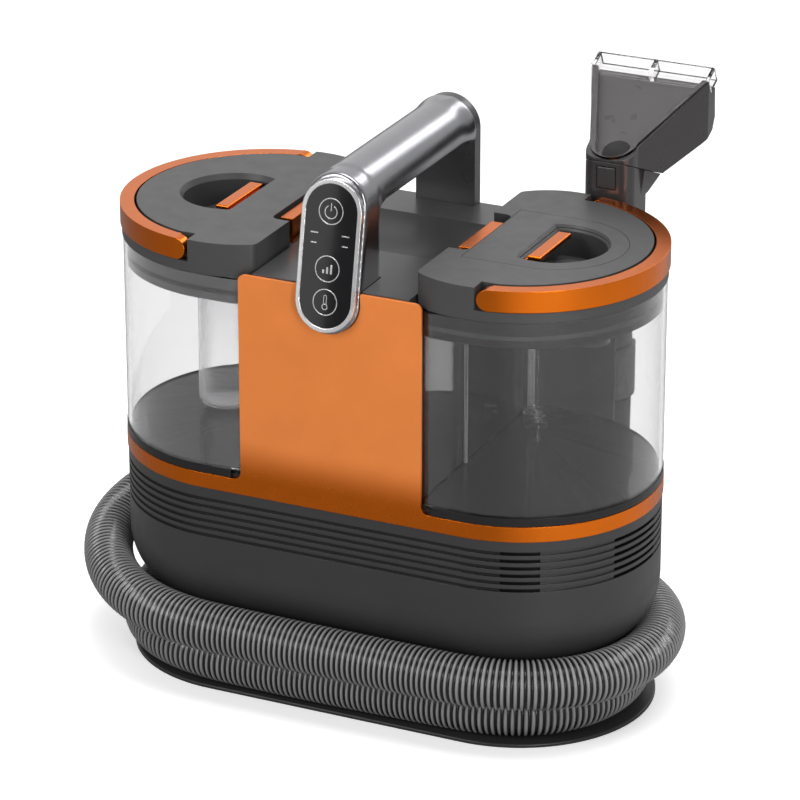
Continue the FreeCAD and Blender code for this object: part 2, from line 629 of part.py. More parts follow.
def make_motor():
    """Vacuum motor on top, its fan below, water pump and heater in the lower housing."""
    can = rod("34", "0", "20", "192", "244")
    cap = rod("24", "0", "20", "244", "252")
    shaft_hole = rod("3.05", "0", "20", "190", "246")
    node("vacuum_motor", cut(fuse(can, cap), shaft_hole))
    shaft = rod("3", "0", "20", "178", "240")
    disc = rod("36", "0", "20", "180.4", "182.2")
    vanes = []
    for number in range(9):
        vane = doc.addObject("Part::Box", "vane")
        vane.Length, vane.Width, vane.Height = 26, 1.4, 7
        turn = FreeCAD.Rotation(FreeCAD.Vector(0, 0, 1), 40 * number)
        start = turn.multVec(FreeCAD.Vector(9, -0.7, 0)) + FreeCAD.Vector(0, 20, 182.2)
        vane.Placement = FreeCAD.Placement(start, turn)
        vanes.append(vane)
    node("fan_impeller", fuse(shaft, disc, *vanes))
    scroll = cut(rod("42", "0", "20", "174", "192"), rod("38.6", "0", "20", "176.6", "193"),
                 rod("14", "0", "20", "173", "177"))
    node("fan_housing", scroll)
    duct = cut(rod("11", "0", "-45", "152", "200"), rod("9", "0", "-45", "151", "201"))
    node("suction_duct", duct)
    mounts = [cut(rod("46", "0", "20", z0, z1), rod("35", "0", "20", z0 - 1, z1 + 1))
              for z0, z1 in ((200, 206), (232, 238))]
    node("motor_mounts", fuse(*mounts))


def make_pump():
    base = rod_x("17", "-70", "-30", "0", "82")
    head = rod_x("13", "-30", "-8", "0", "82")
    stand = box("-66", "-34", "-15", "15", "bowl_floor + shell_wall", "70")
    node("water_pump", fuse(base, head, stand))
    core = rounded(box("20", "88", "-22", "22", "bowl_floor + shell_wall", "84"), 6, upright)
    node("water_heater", core)
    tube = cut(rod_x("3.2", "-8", "20", "0", "76"), rod_x("1.8", "-9", "21", "0", "76"))
    node("pump_tube", tube)
    plate = box("-50", "50", "36", "39.5", "70", "130")
    chips = [box(x, x + 12, "39.5", "44", z, z + 9) for x in (-40, -8, 24) for z in (80, 104)]
    node("power_board", fuse(plate, *chips))


# ---------------------------------------------------------------- hand tool

def extruded(points, x0, x1):
    """A block with this outline in the YZ plane, between two x values."""
    wire = Part.makePolygon([FreeCAD.Vector(x0, y, z) for y, z in points + points[:1]])
    return Part.Face(wire).extrude(FreeCAD.Vector(x1 - x0, 0, 0))


HEAD_SLOPE = 25.9
HEAD_OUTLINE = [(93, 325.8), (93, 327.3), (165, 362.3), (169.6, 352.8), (175.8, 355.4),
                (177, 336), (173, 328), (161, 322.5), (127, 311)]
HEAD_PLAN = [(8.5, 93.4), (11.6, 94), (14.2, 95.7), (15.9, 98.3), (16.5, 101.4), (16.5, 106),
             (40, 165), (40, 181)]
FLARE_LOW = [(16.2, 112, 298), (16.2, 124, 298)]
FLARE_HIGH = [(18.9, 112, 319.6), (25, 127.4, 312.9)]


def on_slope(item):
    """Lay an item made flat, with Y along it and Z out of it, on the head's sloping front."""
    base = FreeCAD.Vector(size("tool_x"), size("head_y"), size("head_z"))
    tilt = FreeCAD.Rotation(FreeCAD.Vector(1, 0, 0), HEAD_SLOPE)
    item.Placement = FreeCAD.Placement(base, tilt)
    return item


def fan(half_low, half_high, y0, y1, z0, z1):
    """A flat block that widens from y0 to y1."""
    item = doc.addObject("Part::Wedge", "fan")
    return bind(item, Xmin=f"0 - ({half_low})", Xmax=half_low, X2min=f"0 - ({half_high})",
                X2max=half_high, Ymin=y0, Ymax=y1, Zmin=z0, Zmax=z1, Z2min=z0, Z2max=z1)


def make_tool_head():
    """Suction head: a dark wedge with a channel under a clear front and a clear mouth."""
    x = size("tool_x")
    block = extruded(HEAD_OUTLINE, x - 50, x + 50)
    corners = [FreeCAD.Vector(x + half, y, 290) for half, y in HEAD_PLAN]
    corners += [FreeCAD.Vector(x - half, y, 290) for half, y in reversed(HEAD_PLAN)]
    plan = Part.Face(Part.makePolygon(corners + corners[:1])).extrude(FreeCAD.Vector(0, 0, 90))
    body = solid("head_block", block.common(plan).removeSplitter())
    channel = on_slope(fuse(fan("head_neck - 4.5", "head_half - 2.5", "14", "head_long + 5",
                                "0 - channel_deep", "1"),
                            rod("head_neck - 4.5", "0", "14", "0 - channel_deep", "1")))
    throat = rod("9", "tool_x", "tool_y", "300", "332")
    node("tool_head", cut(body, channel, throat))


def make_tool_cover():
    """The clear front with its round lower end, and the clear mouth with a bridge across it."""
    plate = fuse(fan("head_neck - 0.6", "head_half + 0.4", "head_neck - 0.6", "head_long", "0.1",
                     "cover_thick"),
                 rod("head_neck - 0.6", "0", "head_neck - 0.6", "0.1", "cover_thick"))
    mouth = rounded(box("0 - head_half - 0.4", "head_half + 0.4", "head_long + 0.2",
                        "head_long + lip_long", "0 - channel_deep - lip_wall", "cover_thick"), 2,
                    lambda edge, bounds: bounds.YLength > 5)
    join = box("0 - head_half", "head_half", "head_long - 1", "head_long + 2", "0.1",
               "cover_thick")
    slots = [box(x0, x1, "head_long - 1", "head_long + lip_long + 1", "0 - channel_deep", "0.2")
             for x0, x1 in (("lip_wall + 0.4 - head_half", "-1.5"),
                            ("1.5", "head_half - lip_wall - 0.4"))]
    node("tool_clear_cover", on_slope(cut(fuse(plate, mouth, join), *slots)))


def make_tool_handle():
    grip = rounded(box("tool_x - tool_radius", "tool_x + tool_radius", "tool_y - tool_radius",
                       "tool_y + tool_radius", "tool_low + 78", "head_z"), 8, upright)
    above = box("tool_x - 40", "tool_x + 40", "head_y - 20", "head_y + 60",
                "head_z - 1.9 + 20 * joint_slope", "head_z + 50")
    above.Placement.Rotation = FreeCAD.Rotation(
        FreeCAD.Vector(1, 0, 0), -math.degrees(math.atan(size("joint_slope"))))
    barrel = rod("tool_radius - 1", "tool_x", "tool_y", "tool_low", "tool_low + 78")
    tail = rod("tail_radius", "tool_x", "tool_y", "tail_low", "tool_low")
    rings = [Part.makePolygon([FreeCAD.Vector(size("tool_x") + half, y, z)
                               for half, y, z in ring + [(-half, y, z) for half, y, z in ring[::-1]]
                               + ring[:1]]) for ring in (FLARE_LOW, FLARE_HIGH)]
    flare = solid("flare", Part.makeLoft(rings, True, True))
    bore = rod("tail_radius - 2.5", "tool_x", "tool_y", "tail_low - 1", "head_z + 1")
    button_hole = box("tool_x - 6.6", "tool_x + 6.6", "tool_y - tool_radius - 1",
                      "tool_y - tool_radius + 5", "button_low - 0.5", "button_low + button_long + 0.5")
    trigger_slot = box("tool_x - 5.3", "tool_x + 5.3", "tool_y + 6.5", "tool_y + 19", "208", "252")
    pin_hole = rod_x("trigger_pin + 0.05", "tool_x - 8.2", "tool_x + 8.2", "trigger_y", "trigger_z")
    node("tool_handle", cut(fuse(grip, barrel, tail, flare), above, bore, button_hole,
                            trigger_slot, pin_hole))


def make_tool_fittings():
    button = rounded(box("tool_x - 6.1", "tool_x + 6.1", "tool_y - tool_radius - 0.6",
                         "tool_y - tool_radius + 2.6", "button_low", "button_low + button_long"), 0.6,
                     lambda edge, bounds: bounds.YMax < size("tool_y") - size("tool_radius"))
    node("tool_release_button", button)
    blade = box("tool_x - 4.9", "tool_x + 4.9", "tool_y + 10.5", "tool_y + 19.5", "211", "248")
    eased = rounded(blade, 3, lambda edge, bounds: bounds.XLength > 5
                    and bounds.YMin > size("tool_y") + 19)
    pin = rod_x("trigger_pin", "tool_x - 8", "tool_x + 8", "trigger_y", "trigger_z")
    node("tool_trigger", fuse(eased, pin))
    cuff = cut(cone("hose_radius - 0.8", "tail_radius + 3", "tool_x", "tool_y", "tail_low",
                    "tail_low + 26"),
               rod("tail_radius", "tool_x", "tool_y", "tail_low - 1", "tail_low + 27"))
    node("hose_cuff", cuff)
    nozzle = Part.makeCylinder(4, 5, FreeCAD.Vector(size("tool_x"), 177.4, 345),
                               FreeCAD.Vector(0, 1, 0.06))
    node("spray_nozzle", solid("spray_nozzle", nozzle))


def make_dock():
    """Bracket behind the dirty tank that holds the hand tool upright."""
    plate = box("core_half - 6", "tool_x + 11", "band_radius + 0.6", "band_radius + 2.4",
                "band_top - 6", "276")
    foot = box("core_half - 16", "core_half", "core_back", "band_radius + 2.4", "158", "276")
    arm = box("tool_x - 8", "tool_x + 8", "band_radius + 1", "tool_y - 14", "166", "197")
    cup = rod("tool_radius + 1.6", "tool_x", "tool_y", "166", "199.6")
    socket = rod("tail_radius + 0.4", "tool_x", "tool_y", "165", "200")
    way_out = box("tool_x - tail_radius - 0.4", "tool_x + tail_radius + 0.4", "tool_y",
                  "tool_y + 25", "165", "200")
    holder = cut(fuse(arm, cup), socket, way_out, stadium("band_radius + 0.5", "160", "205"))
    node("tool_dock", fuse(plate, foot, holder))


# ---------------------------------------------------------------- hose

PER_TURN = 14


def around(step, radius, height):
    """The route's point number step round the waist, seen from above clockwise from the back."""
    place = step % PER_TURN
    half = size("end_centre")
    if place in (5, 6, 12, 13):
        front = place in (5, 6)
        x = 40 if place in (5, 13) else -40
        return (x, -(radius + 1.5) if front else radius + 1.5, height)
    right = place < 5
    angle = math.radians(72 - 36 * place if right else 252 - 36 * (place - 7))
    corner = radius / math.cos(math.radians(18))
    centre = half if right else -half
    return (centre + corner * math.cos(angle), corner * math.sin(angle), height)


# point number round the waist, distance from the body's end centre, height
WINDING = [(0, 68.6, 18.2), (2, 69.6, 18.2), (6, 76.5, 18.2), (9, 80, 21.5), (11, 87, 36),
           (12, 90, 42), (13, 92, 44), (14, 91, 43.9), (16, 89.9, 43.9), (17, 91, 44.3),
           (20, 92.8, 46.2), (21, 95, 48), (22, 102, 55), (23, 110, 66), (24, 110, 78),
           (25, 109, 82)]
HOSE_START = [(6, 68, 18.2), (60, 68, 18.2)]
HOSE_END = [(-60, 114, 79), (-12, 119, 68.5), (22, 121.5, 60.5), (50, 121.5, 58.5),
            (75, 119, 68.5), (94, 114.5, 88), (104, 110, 112.5), (104, 110, 137)]


def hose_route():
    points = list(HOSE_START)
    for first, second in zip(WINDING, WINDING[1:]):
        for step in range(first[0], second[0]):
            part = (step - first[0]) / (second[0] - first[0])
            radius = first[1] + part * (second[1] - first[1])
            height = first[2] + part * (second[2] - first[2])
            points.append(around(step, radius, height))
    points.append(around(*WINDING[-1]))
    return [FreeCAD.Vector(*point) for point in points + HOSE_END]


def rounded_path(points):
    """Straight runs joined by tangent arcs, each as large as its two runs allow."""
    edges = []
    last = points[0]
    for before, corner, after in zip(points, points[1:], points[2:]):
        back = (before - corner).normalize()
        ahead = (after - corner).normalize()
        shorter = min((before - corner).Length, (after - corner).Length)
        turn = math.pi - back.getAngle(ahead)
        radius = 0.45 * shorter / math.tan(turn / 2)
        print(f"hose arc radius {radius:.0f} mm, turn {math.degrees(turn):.0f} degrees")
        start = corner + back * (0.45 * shorter)
        end = corner + ahead * (0.45 * shorter)
        inward = (back + ahead).normalize()
        middle = corner + inward * (radius / math.cos(turn / 2) - radius)
        edges.append(Part.LineSegment(last, start).toShape())
        edges.append(Part.Arc(start, middle, end).toShape())
        last = end
    edges.append(Part.LineSegment(last, points[-1]).toShape())
    return Part.Wire(edges)


def make_hose():
    points = hose_route()
    path = rounded_path(points)
    radius = size("hose_radius")
    ring = Part.Wire(Part.makeCircle(radius, points[0], points[1] - points[0]))
    tube = path.makePipeShell([ring], True, False)
    expected = math.pi * radius ** 2 * path.Length
    print(f"hose length {path.Length:.0f} mm, volume ratio {tube.Volume / expected:.4f}")
    node("hose", solid("hose", tube))


def export_nodes():
    doc.recompute()
    for item in doc.Objects:
        if "Invalid" in item.State or "Error" in item.State:
            raise RuntimeError(f"{item.Label}: {item.State}")
    os.makedirs("parts", exist_ok=True)
    for name, item in nodes.items():
        if item.Shape.isNull() or not item.Shape.isValid() or not item.Shape.Solids:
            raise RuntimeError(f"{name} has no valid solid")
        item.Shape.exportStep(f"parts/{name}.step")
        print(f"{name}: {len(item.Shape.Solids)} solids, {item.Shape.Volume:.0f} mm3")


def main():
    fill_sheet()
    make_foot()
    make_waist()
    make_hose_port()
    make_lower_housing()
    make_shell()
    make_tray()
    make_core()
    make_deck()
    make_handle()
    make_screws()
    make_display()
    for side, word in ((-1, "clean"), (1, "dirty")):
        make_tank(side, word)
        make_valve(side, word)
        make_lid(side, word)
        make_bail(side, word)
        make_lever(side, word)
        make_latch(side, word)
    make_cap(1, "dirty")
    make_float()
    make_motor()
    make_pump()
    make_tool_head()
    make_tool_cover()
    make_tool_handle()
    make_tool_fittings()
    make_dock()
    make_hose()
    export_nodes()


main()
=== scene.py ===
"""Looks of a portable carpet cleaner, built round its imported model.

Metres, +Z up, +X towards the dirty-water tank, -Y towards the touch panel. The camera and the
hose come first, then the materials, the small pieces and the light.
"""

import json
import math

import bmesh
import bpy
import numpy as np
from mathutils import Matrix, Vector


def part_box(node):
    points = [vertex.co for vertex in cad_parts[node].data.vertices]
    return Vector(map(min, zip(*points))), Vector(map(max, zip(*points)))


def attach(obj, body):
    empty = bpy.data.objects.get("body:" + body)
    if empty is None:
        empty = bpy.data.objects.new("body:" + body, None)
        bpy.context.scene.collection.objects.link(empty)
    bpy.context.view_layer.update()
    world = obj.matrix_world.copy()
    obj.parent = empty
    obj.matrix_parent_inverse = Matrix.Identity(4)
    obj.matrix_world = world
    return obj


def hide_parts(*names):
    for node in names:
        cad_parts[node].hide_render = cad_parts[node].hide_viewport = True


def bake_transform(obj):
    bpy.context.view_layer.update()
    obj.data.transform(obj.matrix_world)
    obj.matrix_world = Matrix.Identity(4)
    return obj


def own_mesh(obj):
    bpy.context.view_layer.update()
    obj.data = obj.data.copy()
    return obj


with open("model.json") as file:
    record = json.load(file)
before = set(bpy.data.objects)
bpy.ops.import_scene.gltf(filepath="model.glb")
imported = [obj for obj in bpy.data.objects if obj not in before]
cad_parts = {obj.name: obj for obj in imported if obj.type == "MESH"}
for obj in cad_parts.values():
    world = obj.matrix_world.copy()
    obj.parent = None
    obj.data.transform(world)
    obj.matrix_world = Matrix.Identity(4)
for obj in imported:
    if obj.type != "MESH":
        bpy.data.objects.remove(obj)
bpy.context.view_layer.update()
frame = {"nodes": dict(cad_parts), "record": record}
scene = bpy.context.scene


def link(name, data):
    """A new object of the scene that holds this data."""
    made = bpy.data.objects.new(name, data)
    scene.collection.objects.link(made)
    return made


# ---------------------------------------------------------------- camera

CAMERA_PLACE = (1.06426, -2.25211, 1.21747)
CAMERA_AZIMUTH = math.radians(25.18)
CAMERA_ELEVATION = math.radians(22.59)
CAMERA_LENS = 192.8


def make_camera():
    data = bpy.data.cameras.new("camera")
    data.lens = CAMERA_LENS
    data.clip_end = 20
    camera = link("camera", data)
    camera.location = CAMERA_PLACE
    camera.rotation_euler = (math.pi / 2 - CAMERA_ELEVATION, 0, CAMERA_AZIMUTH)
    scene.camera = camera


# ---------------------------------------------------------------- hose

HOSE_RADIUS = 0.016
RING_PITCH = 0.0036
RING_DEPTH = 0.0019
RING_STEPS = 8
GROOVE_SHARPNESS = 1.2
ROUND_STEPS = 30
PER_TURN = 14
END_CENTRE = 0.088
SIDE_X = 0.040
SIDE_OUT = 0.0015

# point number round the waist, distance from the body's end centre, height
WINDING = [(0, 0.0686, 0.0182), (2, 0.0696, 0.0182), (6, 0.0765, 0.0182), (9, 0.080, 0.0215),
           (11, 0.087, 0.036), (12, 0.090, 0.042), (13, 0.092, 0.044), (14, 0.091, 0.0439),
           (16, 0.0899, 0.0439), (17, 0.091, 0.0443), (20, 0.0928, 0.0462), (21, 0.095, 0.048),
           (22, 0.102, 0.055), (23, 0.110, 0.066), (24, 0.110, 0.078), (25, 0.109, 0.082)]
HOSE_START = [(0.006, 0.068, 0.0182), (0.060, 0.068, 0.0182)]
HOSE_END = [(-0.060, 0.114, 0.079), (-0.012, 0.119, 0.0685), (0.022, 0.1215, 0.0605),
            (0.050, 0.1215, 0.0585), (0.075, 0.119, 0.0685), (0.094, 0.1145, 0.088),
            (0.104, 0.110, 0.1125), (0.104, 0.110, 0.137)]


def around(step, radius, height):
    """The route's point number step round the waist, seen from above clockwise from the back."""
    place = step % PER_TURN
    if place in (5, 6, 12, 13):
        x = SIDE_X if place in (5, 13) else -SIDE_X
        y = radius + SIDE_OUT
        return (x, -y if place in (5, 6) else y, height)
    right = place < 5
    angle = math.radians(72 - 36 * place if right else 252 - 36 * (place - 7))
    corner = radius / math.cos(math.radians(18))
    centre = END_CENTRE if right else -END_CENTRE
    return (centre + corner * math.cos(angle), corner * math.sin(angle), height)


def hose_route():
    points = list(HOSE_START)
    for first, second in zip(WINDING, WINDING[1:]):
        for step in range(first[0], second[0]):
            part = (step - first[0]) / (second[0] - first[0])
            radius = first[1] + part * (second[1] - first[1])
            height = first[2] + part * (second[2] - first[2])
            points.append(around(step, radius, height))
    points.append(around(*WINDING[-1]))
    return points + HOSE_END


def smooth_line(points):
    """The points of the NURBS spline that has these control points."""
    curve = bpy.data.curves.new("route", "CURVE")
    curve.dimensions = "3D"
    curve.resolution_u = 24
    spline = curve.splines.new("NURBS")
    spline.points.add(len(points) - 1)
    for place, point in zip(spline.points, points):
        place.co = (*point, 1)
    spline.order_u = 3
    spline.use_endpoint_u = True
    holder = link("route", curve)
    mesh = bpy.data.meshes.new_from_object(holder)
    line = [vertex.co.copy() for vertex in mesh.vertices]
    bpy.data.objects.remove(holder)
    bpy.data.meshes.remove(mesh)
    return line


def even_steps(line, step):
    """Points along the line a step apart, each with its direction."""
    places = []
    walked, wanted = 0.0, 0.0
    for start, end in zip(line, line[1:]):
        span = (end - start).length
        while span and wanted <= walked + span:
            places.append((start.lerp(end, (wanted - walked) / span), (end - start) / span))
            wanted += step
        walked += span
    return places


def groove_at(index):
    """How deep in a groove this step of the hose lies, from 0 on a ring to 1."""
    return (0.5 + 0.5 * math.cos(2 * math.pi * index / RING_STEPS)) ** GROOVE_SHARPNESS


def ring_radius(index):
    """Wide rounded rings with narrow grooves between them."""
    return HOSE_RADIUS - RING_DEPTH * groove_at(index)


def tube_mesh(name, places, radius_at, around_steps):
    """A closed tube whose radius changes along its length."""
    shape = bmesh.new()
    side = places[0][1].orthogonal().normalized()
    rings = []
    for index, (centre, way) in enumerate(places):
        side = (side - way * side.dot(way)).normalized()
        over = way.cross(side)
        radius = radius_at(index)
        turns = [2 * math.pi * turn / around_steps for turn in range(around_steps)]
        rings.append([shape.verts.new(centre + radius * (side * math.cos(a) + over * math.sin(a)))
                      for a in turns])
    for low, high in zip(rings, rings[1:]):
        for a in range(around_steps):
            b = (a + 1) % around_steps
            shape.faces.new((low[a], low[b], high[b], high[a]))
    shape.faces.new(rings[0][::-1])
    shape.faces.new(rings[-1])
    mesh = bpy.data.meshes.new(name)
    shape.to_mesh(mesh)
    shape.free()
    mesh.shade_smooth()
    return mesh


def make_hose():
    line = smooth_line(hose_route())
    places = even_steps(line, RING_PITCH / RING_STEPS)
    mesh = tube_mesh("corrugated_hose", places, ring_radius, ROUND_STEPS)
    depths = [groove_at(index) for index in range(len(places)) for _ in range(ROUND_STEPS)]
    mesh.attributes.new("groove", "FLOAT", "POINT").data.foreach_set("value", depths)
    hose = link("corrugated_hose", mesh)
    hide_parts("hose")
    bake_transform(hose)
    return hose


# ---------------------------------------------------------------- handle

HANDLE_VOXEL = 0.001
WELD = 0.00001
SMOOTHING = 0.7
SMOOTH_ROUNDS = 9
POST_WEIGHT = 0.3
BAR_WEIGHT = 0.5
POST_Y = (-0.092, -0.084)
FLARE_LENGTH = 0.022
FLARE_PROUD = 0.0009
FLARE_RAISE = 0.0005
FLARE_SHARE = 0.9
FLARE_CORE = 0.008


def remeshed(node, name):
    """A copy of a node's mesh, made of even small faces."""
    copy = link(name, frame["nodes"][node].data.copy())
    weld = copy.modifiers.new("weld", "WELD")
    weld.merge_threshold = WELD
    even = copy.modifiers.new("even", "REMESH")
    even.mode = "VOXEL"
    even.voxel_size = HANDLE_VOXEL
    seen = copy.evaluated_get(bpy.context.evaluated_depsgraph_get())
    mesh = bpy.data.meshes.new_from_object(seen)
    copy.modifiers.clear()
    copy.data = mesh
    return copy


def relax(mesh, weight, rounds):
    """Smooth the mesh as strongly at each point as its weight says."""
    count = len(mesh.vertices)
    place = np.empty(count * 3)
    mesh.vertices.foreach_get("co", place)
    place = place.reshape(-1, 3)
    ends = np.empty(len(mesh.edges) * 2, int)
    mesh.edges.foreach_get("vertices", ends)
    first, second = ends[::2], ends[1::2]
    near = np.bincount(first, minlength=count) + np.bincount(second, minlength=count)
    pull = weight(place)[:, None] * SMOOTHING
    for _ in range(rounds):
        total = np.stack([np.bincount(first, place[second, axis], count)
                          + np.bincount(second, place[first, axis], count) for axis in range(3)], 1)
        place = place + pull * (total / near[:, None] - place)
    mesh.vertices.foreach_set("co", place.ravel())
    mesh.update()


def ramp(value, low, high):
    """0 below low, 1 above high, and a smooth rise between them."""
    part = np.clip((value - low) / (high - low), 0, 1)
    return part * part * (3 - 2 * part)


def make_handle():
    """The grip with softened edges, and a flare at its far end."""
    handle = remeshed("handle_grip", "handle_body")
    relax(handle.data, lambda p: POST_WEIGHT + BAR_WEIGHT * ramp(p[:, 1], *POST_Y),
          SMOOTH_ROUNDS)
    low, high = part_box("handle_grip")
    place = np.array([vertex.co for vertex in handle.data.vertices])
    far = ramp(place[:, 1], high.y - FLARE_LENGTH, high.y) ** 2
    centre = high.z - (high.x - low.x) / 2 + FLARE_RAISE
    across = np.stack([place[:, 0], place[:, 2] - centre], 1)
    length = np.linalg.norm(across, axis=1)
    wanted = (high.x - low.x) / 2 + FLARE_PROUD
    missing = (wanted - length) / np.maximum(length, FLARE_CORE)
    grow = 1 + FLARE_SHARE * far * np.clip(missing, 0, 1)
    place[:, 0] = across[:, 0] * grow
    place[:, 2] = np.minimum(across[:, 1] * grow + centre, high.z + FLARE_RAISE)
    handle.data.vertices.foreach_set("co", place.ravel())
    handle.data.shade_smooth()
    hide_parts("handle_grip")
    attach(handle, "root")
    return handle


# ---------------------------------------------------------------- touch panel

PANEL_FOOT = Vector((0, -0.0984, 0.2622))
PANEL_LEAN = math.radians(10.6)
PANEL_UP = Vector((0, math.sin(PANEL_LEAN), math.cos(PANEL_LEAN)))
PANEL_OUT = Vector((0, -math.cos(PANEL_LEAN), math.sin(PANEL_LEAN)))
ICON_PROUD = 0.00012
GLASS_FACE = max((Vector(vertex.co) - PANEL_FOOT).dot(PANEL_OUT)
                 for vertex in frame["nodes"]["display_glass"].data.vertices)
RING_SIGN = 7.9
THIN_INK = 0.45
INK = 0.60
RING_INK = 0.62
MARK_INK = 0.75
BAR_INK = 1.3


def stroke(shape, line, width, closed=False):
    """A flat ribbon along a line of points on the panel, in millimetres."""
    pairs = []
    count = len(line)
    for index, point in enumerate(line):
        before = line[index - 1] if index or closed else point
        after = line[(index + 1) % count] if index < count - 1 or closed else point
        way = Vector((after[0] - before[0], after[1] - before[1])).normalized()
        side = Vector((-way.y, way.x)) * width / 2
        pairs.append([panel_point(shape, point[0] + sign * side.x, point[1] + sign * side.y)
                      for sign in (-1, 1)])
    joined = list(zip(pairs, pairs[1:] + pairs[:1] if closed else pairs[1:]))
    for (low, high), (next_low, next_high) in joined:
        shape.faces.new((low, next_low, next_high, high))


def panel_point(shape, x, up):
    place = PANEL_FOOT + PANEL_UP * (up / 1000) + PANEL_OUT * (GLASS_FACE + ICON_PROUD)
    return shape.verts.new((x / 1000, place.y, place.z))


def arc(x, up, radius, start=0, end=360, steps=48):
    """Points of an arc, angles in degrees clockwise from straight up."""
    angles = [math.radians(start + (end - start) * step / steps) for step in range(steps + 1)]
    line = [(x + radius * math.sin(a), up + radius * math.cos(a)) for a in angles]
    return line[:-1] if end - start == 360 else line


def make_icons():
    """Ringed signs for switching on, suction strength and warmth, and four short marks."""
    shape = bmesh.new()
    for x, up in ((-0.4, 74.4), (-0.1, 39.2), (0.0, 18.7)):
        stroke(shape, arc(x, up, RING_SIGN), RING_INK, closed=True)
    stroke(shape, arc(-0.4, 74.0, 4.0, 28, 332), INK)
    stroke(shape, [(-0.4, 74.6), (-0.4, 79.4)], INK)
    for bar, height in ((-2.7, 2.2), (-0.1, 4.0), (2.5, 5.8)):
        stroke(shape, [(bar, 36.2), (bar, 36.2 + height)], BAR_INK)
    stroke(shape, arc(0.0, 15.9, 1.7), INK, closed=True)
    stroke(shape, arc(0.0, 22.2, 0.9, -90, 90, 12), THIN_INK)
    for side in (-0.9, 0.9):
        stroke(shape, [(side, 17.4), (side, 22.2)], THIN_INK)
    for x in (-10.4, 10.4):
        for up, half in ((60.4, 2.5), (54.2, 1.9)):
            stroke(shape, [(x - half, up), (x + half, up)], MARK_INK)
    mesh = bpy.data.meshes.new("touch_signs")
    shape.to_mesh(mesh)
    shape.free()
    signs = link("touch_signs", mesh)
    thick = signs.modifiers.new("ink", "SOLIDIFY")
    thick.thickness = ICON_PROUD * 0.8
    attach(signs, "root")
    return signs


# ---------------------------------------------------------------- finger wells

WELL_FLOOR = 0.284
WELL_X = 0.114
WELL_Y = 0.004
BOSS_PROFILE = [(0.0, 0.0016), (0.0030, 0.0016), (0.0036, 0.0010), (0.0075, 0.0010),
                (0.0082, 0.0022), (0.0098, 0.0022), (0.0105, 0.0012), (0.0136, 0.0012),
                (0.0143, 0.0030), (0.0162, 0.0030), (0.0172, 0.0)]


def make_well_boss(name, x, body):
    """The turned boss with raised rings on the floor of a finger well."""
    profile = [(radius, WELL_FLOOR + height) for radius, height in BOSS_PROFILE]
    boss = turned(name, profile, (x, WELL_Y))
    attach(boss, body)
    return boss


# ---------------------------------------------------------------- drain valve springs

WIRE_RADIUS = 0.00045
SPRING_TURNS = 4
SPRING_STEPS = 28
WIRE_SIDES = 8


def make_valve_spring(word):
    """A coil spring over the valve's stem. The real spring is pressed together when the plunger
    goes up; this coil keeps one length and moves with the tank.
    """
    low, high = (Vector(corner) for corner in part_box(f"{word}_valve_spring"))
    centre = (low + high) / 2
    coil = (high.x - low.x) / 2 - WIRE_RADIUS
    bottom, top = low.z + WIRE_RADIUS, high.z - WIRE_RADIUS
    line = []
    steps = SPRING_TURNS * SPRING_STEPS
    for step in range(steps + 1):
        turn = 2 * math.pi * step / SPRING_STEPS
        share = step / steps
        line.append(Vector((centre.x + coil * math.cos(turn), centre.y + coil * math.sin(turn),
                            bottom + (top - bottom) * share)))
    ways = [(after - before).normalized() for before, after in zip(line, line[1:])]
    places = list(zip(line, ways + ways[-1:]))
    name = f"{word}_spring_coil"
    spring = link(name, tube_mesh(name, places, lambda index: WIRE_RADIUS, WIRE_SIDES))
    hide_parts(f"{word}_valve_spring")
    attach(spring, f"{word}_tank")
    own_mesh(spring)
    return spring


# ---------------------------------------------------------------- clean tank's inner column

COLUMN_PLACE = (-0.118, 0.004)
COLUMN_PROFILE = [(0.0, 0.1585), (0.0130, 0.1585), (0.0168, 0.1596), (0.0186, 0.1622),
                  (0.0190, 0.1660), (0.0184, 0.2640), (0.0168, 0.2640), (0.0174, 0.1665),
                  (0.0170, 0.1635), (0.0156, 0.1612), (0.0128, 0.1601), (0.0, 0.1601)]


def turned(name, profile, place, steps=72):
    """A turned mesh: the profile's radius and height go round a standing axis."""
    shape = bmesh.new()
    rings = []
    for radius, height in profile:
        turns = [2 * math.pi * step / steps for step in range(steps if radius else 1)]
        ring = [shape.verts.new((place[0] + radius * math.cos(a), place[1] + radius * math.sin(a),
                                 height)) for a in turns]
        rings.append(ring if radius else ring * steps)
    for inner, outer in zip(rings, rings[1:]):
        for step in range(steps):
            after = (step + 1) % steps
            corners = dict.fromkeys((inner[step], outer[step], outer[after], inner[after]))
            shape.faces.new(list(corners))
    if profile[-1][0]:
        shape.faces.new(rings[-1][::-1])
    bmesh.ops.recalc_face_normals(shape, faces=shape.faces)
    mesh = bpy.data.meshes.new(name)
    shape.to_mesh(mesh)
    shape.free()
    mesh.shade_smooth()
    return link(name, mesh)


def make_column():
    """The clean tank's clear column; its round foot stops short of the tank's floor."""
    column = turned("clean_tank_column", COLUMN_PROFILE, COLUMN_PLACE)
    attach(column, "clean_tank")
    return column


# ---------------------------------------------------------------- dirty tank's glint rods

# clear rods that carry painted highlight streaks in the dirty tank
# place in x and y, radius
GLINT_RODS = [(0.0625, 0.076, 0.0024), (0.0602, -0.020, 0.0011)]
GLINT_ROD_LOW = 0.1575
GLINT_ROD_HIGH = 0.262
GLINT_ROD_SIDES = 24


def make_glint_rod(name, x, y, radius):
    """A clear rod by the dirty tank's flat wall, for a painted highlight streak that stands in for
    the wall's reflections; it stops short of the wall and the floor.
    """
    glint_rod = turned(name, [(0.0, GLINT_ROD_LOW), (radius, GLINT_ROD_LOW), (radius, GLINT_ROD_HIGH), (0.0, GLINT_ROD_HIGH)],
                 (x, y), GLINT_ROD_SIDES)
    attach(glint_rod, "dirty_tank")
    return glint_rod


# ---------------------------------------------------------------- materials

